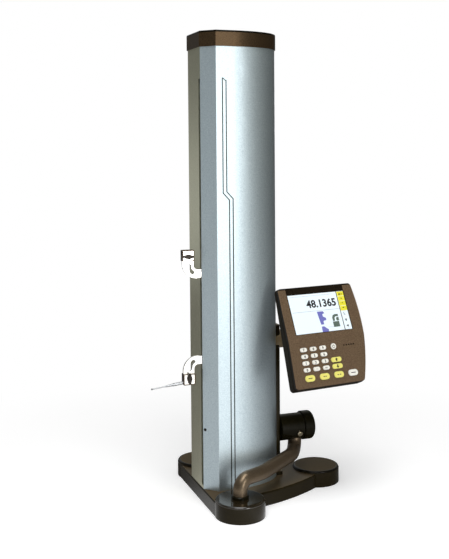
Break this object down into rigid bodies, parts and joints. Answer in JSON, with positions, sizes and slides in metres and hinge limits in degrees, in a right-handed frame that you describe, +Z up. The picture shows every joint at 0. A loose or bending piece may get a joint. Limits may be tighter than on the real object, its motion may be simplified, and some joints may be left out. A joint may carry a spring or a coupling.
{
  "type": "height gauge",
  "caption": "Column height gauge on a three-lobed air-cushion base, with a sliding probe carriage, a handwheel, a lifting handle and a tilting display with keys.",
  "frame": {"origin": "on the surface plate, midway between the two probe-side lobes of the base", "axes": "+Z up along the column, -X the way the probe points, +X the handwheel side, -Y the operator's side"},
  "size_m": [0.4945, 0.3864, 1.045],
  "materials": {
    "base_paint": "dark brown gloss stoving paint",
    "cap_paint": "dark brown satin paint",
    "column_anodised": "satin anodised",
    "cover_anodised": "satin anodised",
    "handle_paint": "brown satin paint",
    "black_gloss": "polished black",
    "housing_brown": "fine grained",
    "window_glass": "hard-coated window",
    "white_key": "moulded",
    "yellow_key": "moulded",
    "bright_steel": "bright plated",
    "ground_steel": "ground",
    "dark_steel": "black oxide",
    "machined_aluminium": "machined",
    "glass": "clear graduated",
    "belt_rubber": "black",
    "pad_metal": "lapped",
    "pack_plastic": "moulded"
  },
  "bodies": {
    "stand": {"base_casting": "base_paint", "foot_caps": "cap_paint", "foot_cap_front": "cap_paint", "air_pads": "pad_metal", "column_bolts": "dark_steel", "column_profile": "column_anodised", "front_cover": "cover_anodised", "column_cap": "cap_paint", "rear_post": "base_paint", "handwheel_hub": "black_gloss", "shaft_bearings": "ground_steel", "handle_tube": "handle_paint", "handle_collar": "black_gloss", "guide_rail": "ground_steel", "glass_scale": "glass", "drive_belt": "belt_rubber", "idler_bracket": "machined_aluminium", "battery_pack": "pack_plastic", "air_pump": "pack_plastic", "display_hub": "handle_paint"},
    "carriage": {"carriage_plate": "dark_steel", "bearing_blocks": "ground_steel", "belt_clamp": "machined_aluminium", "reading_head": "pack_plastic", "upper_arm": "bright_steel", "lower_arm": "bright_steel", "upper_clamp_block": "bright_steel", "lower_clamp_block": "bright_steel", "probe_stylus": "ground_steel"},
    "upper_clamp_key": {"upper_clamp_key": "dark_steel"},
    "lower_clamp_key": {"lower_clamp_key": "dark_steel"},
    "handwheel": {"handwheel": "black_gloss", "drive_shaft": "ground_steel", "drive_pulley": "machined_aluminium"},
    "idler_pulley": {"idler_pulley": "machined_aluminium"},
    "counterweight": {"counterweight": "ground_steel"},
    "air_button": {"air_button": "black_gloss"},
    "display_yoke": {"display_yoke": "handle_paint"},
    "display": {"display_front_shell": "housing_brown", "display_rear_shell": "housing_brown", "display_window": "window_glass"},
    "key_7": {"key_7": "white_key"},
    "key_8": {"key_8": "white_key"},
    "key_9": {"key_9": "white_key"},
    "key_4": {"key_4": "white_key"},
    "key_5": {"key_5": "white_key"},
    "key_6": {"key_6": "white_key"},
    "key_1": {"key_1": "white_key"},
    "key_2": {"key_2": "white_key"},
    "key_3": {"key_3": "white_key"},
    "key_0": {"key_0": "white_key"},
    "key_point": {"key_point": "white_key"},
    "key_sign": {"key_sign": "white_key"},
    "key_power": {"key_power": "white_key"},
    "key_up": {"key_up": "yellow_key"},
    "key_down": {"key_down": "yellow_key"},
    "function_key_1": {"function_key_1": "yellow_key"},
    "function_key_2": {"function_key_2": "yellow_key"},
    "function_key_3": {"function_key_3": "yellow_key"},
    "key_enter": {"key_enter": "white_key"}
  },
  "joints": [
    {"name": "carriage_slide", "type": "slide", "parent": "stand", "child": "carriage", "axis": [0, 0, 1], "range_m": [-0.258, 0.372]},
    {"name": "handwheel_turn", "type": "hinge", "parent": "stand", "child": "handwheel", "pos_m": [0.204, 0, 0.135], "axis": [1, 0, 0], "continuous": true},
    {"name": "idler_turn", "type": "hinge", "parent": "stand", "child": "idler_pulley", "pos_m": [0.005, 0, 0.97], "axis": [1, 0, 0], "continuous": true},
    {"name": "counterweight_slide", "type": "slide", "parent": "stand", "child": "counterweight", "axis": [0, 0, 1], "range_m": [-0.372, 0.258]},
    {"name": "upper_clamp_turn", "type": "hinge", "parent": "carriage", "child": "upper_clamp_key", "pos_m": [-0.0825, -0.0465, 0.55175], "axis": [0, -1, 0], "range_deg": [0, 90]},
    {"name": "lower_clamp_turn", "type": "hinge", "parent": "carriage", "child": "lower_clamp_key", "pos_m": [-0.0825, -0.0465, 0.28225], "axis": [0, -1, 0], "range_deg": [-90, 0]},
    {"name": "air_button_press", "type": "slide", "parent": "stand", "child": "air_button", "axis": [0, 0.9397, 0.342], "range_m": [0, 0.003], "stiffness_N_per_m": 500},
    {"name": "display_tilt", "type": "hinge", "parent": "stand", "child": "display_yoke", "pos_m": [0.172, 0, 0.345], "axis": [1, 0, 0], "range_deg": [-4, 25]},
    {"name": "display_swivel", "type": "hinge", "parent": "display_yoke", "child": "display", "pos_m": [0.186, -0.062, 0.345], "axis": [0, 0, 1], "range_deg": [-5, 55]},
    {"name": "key_7_press", "type": "slide", "parent": "display", "child": "key_7", "axis": [-0.1333, 0.9343, -0.3305], "range_m": [0, 0.001], "stiffness_N_per_m": 400},
    {"name": "key_8_press", "type": "slide", "parent": "display", "child": "key_8", "axis": [-0.1333, 0.9343, -0.3305], "range_m": [0, 0.001], "stiffness_N_per_m": 400},
    {"name": "key_9_press", "type": "slide", "parent": "display", "child": "key_9", "axis": [-0.1333, 0.9343, -0.3305], "range_m": [0, 0.001], "stiffness_N_per_m": 400},
    {"name": "key_4_press", "type": "slide", "parent": "display", "child": "key_4", "axis": [-0.1333, 0.9343, -0.3305], "range_m": [0, 0.001], "stiffness_N_per_m": 400},
    {"name": "key_5_press", "type": "slide", "parent": "display", "child": "key_5", "axis": [-0.1333, 0.9343, -0.3305], "range_m": [0, 0.001], "stiffness_N_per_m": 400},
    {"name": "key_6_press", "type": "slide", "parent": "display", "child": "key_6", "axis": [-0.1333, 0.9343, -0.3305], "range_m": [0, 0.001], "stiffness_N_per_m": 400},
    {"name": "key_1_press", "type": "slide", "parent": "display", "child": "key_1", "axis": [-0.1333, 0.9343, -0.3305], "range_m": [0, 0.001], "stiffness_N_per_m": 400},
    {"name": "key_2_press", "type": "slide", "parent": "display", "child": "key_2", "axis": [-0.1333, 0.9343, -0.3305], "range_m": [0, 0.001], "stiffness_N_per_m": 400},
    {"name": "key_3_press", "type": "slide", "parent": "display", "child": "key_3", "axis": [-0.1333, 0.9343, -0.3305], "range_m": [0, 0.001], "stiffness_N_per_m": 400},
    {"name": "key_0_press", "type": "slide", "parent": "display", "child": "key_0", "axis": [-0.1333, 0.9343, -0.3305], "range_m": [0, 0.001], "stiffness_N_per_m": 400},
    {"name": "key_point_press", "type": "slide", "parent": "display", "child": "key_point", "axis": [-0.1333, 0.9343, -0.3305], "range_m": [0, 0.001], "stiffness_N_per_m": 400},
    {"name": "key_sign_press", "type": "slide", "parent": "display", "child": "key_sign", "axis": [-0.1333, 0.9343, -0.3305], "range_m": [0, 0.001], "stiffness_N_per_m": 400},
    {"name": "key_power_press", "type": "slide", "parent": "display", "child": "key_power", "axis": [-0.1333, 0.9343, -0.3305], "range_m": [0, 0.001], "stiffness_N_per_m": 400},
    {"name": "key_up_press", "type": "slide", "parent": "display", "child": "key_up", "axis": [-0.1333, 0.9343, -0.3305], "range_m": [0, 0.001], "stiffness_N_per_m": 400},
    {"name": "key_down_press", "type": "slide", "parent": "display", "child": "key_down", "axis": [-0.1333, 0.9343, -0.3305], "range_m": [0, 0.001], "stiffness_N_per_m": 400},
    {"name": "function_key_1_press", "type": "slide", "parent": "display", "child": "function_key_1", "axis": [-0.1333, 0.9343, -0.3305], "range_m": [0, 0.001], "stiffness_N_per_m": 400},
    {"name": "function_key_2_press", "type": "slide", "parent": "display", "child": "function_key_2", "axis": [-0.1333, 0.9343, -0.3305], "range_m": [0, 0.001], "stiffness_N_per_m": 400},
    {"name": "function_key_3_press", "type": "slide", "parent": "display", "child": "function_key_3", "axis": [-0.1333, 0.9343, -0.3305], "range_m": [0, 0.001], "stiffness_N_per_m": 400},
    {"name": "key_enter_press", "type": "slide", "parent": "display", "child": "key_enter", "axis": [-0.1333, 0.9343, -0.3305], "range_m": [0, 0.001], "stiffness_N_per_m": 400}
  ],
  "couplings": [
    {"joint": "handwheel_turn", "follows": "carriage_slide", "rad_per_m": -35.714},
    {"joint": "idler_turn", "follows": "carriage_slide", "rad_per_m": -35.714},
    {"joint": "counterweight_slide", "follows": "carriage_slide", "ratio": -1}
  ]
}
